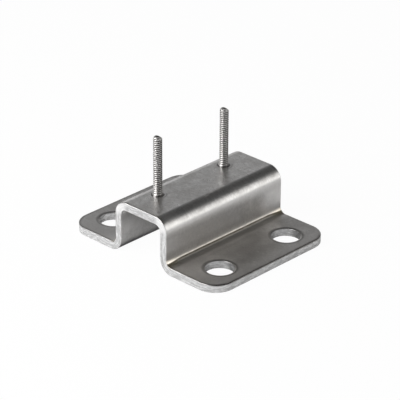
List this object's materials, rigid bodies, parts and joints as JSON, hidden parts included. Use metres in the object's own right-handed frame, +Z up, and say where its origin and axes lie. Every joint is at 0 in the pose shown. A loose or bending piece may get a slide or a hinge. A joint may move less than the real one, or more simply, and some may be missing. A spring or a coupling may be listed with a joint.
{
  "type": "hat-shaped fixing bracket",
  "caption": "Folded stainless hat-section bracket with round flange holes for bolting down and upright threaded studs on its raised web.",
  "frame": {"origin": "centre of the mounting face under the flanges", "axes": "+X across the bracket away from the stud line, +Y along the channel, +Z up along the studs"},
  "size_m": [0.0772, 0.0626, 0.0455],
  "materials": {
    "plate_steel": "satin mill finish",
    "stud_steel": "bright rolled thread"
  },
  "bodies": {
    "root": {"folded_plate": "plate_steel", "front_stud": "stud_steel", "rear_stud": "stud_steel"}
  },
  "joints": []
}
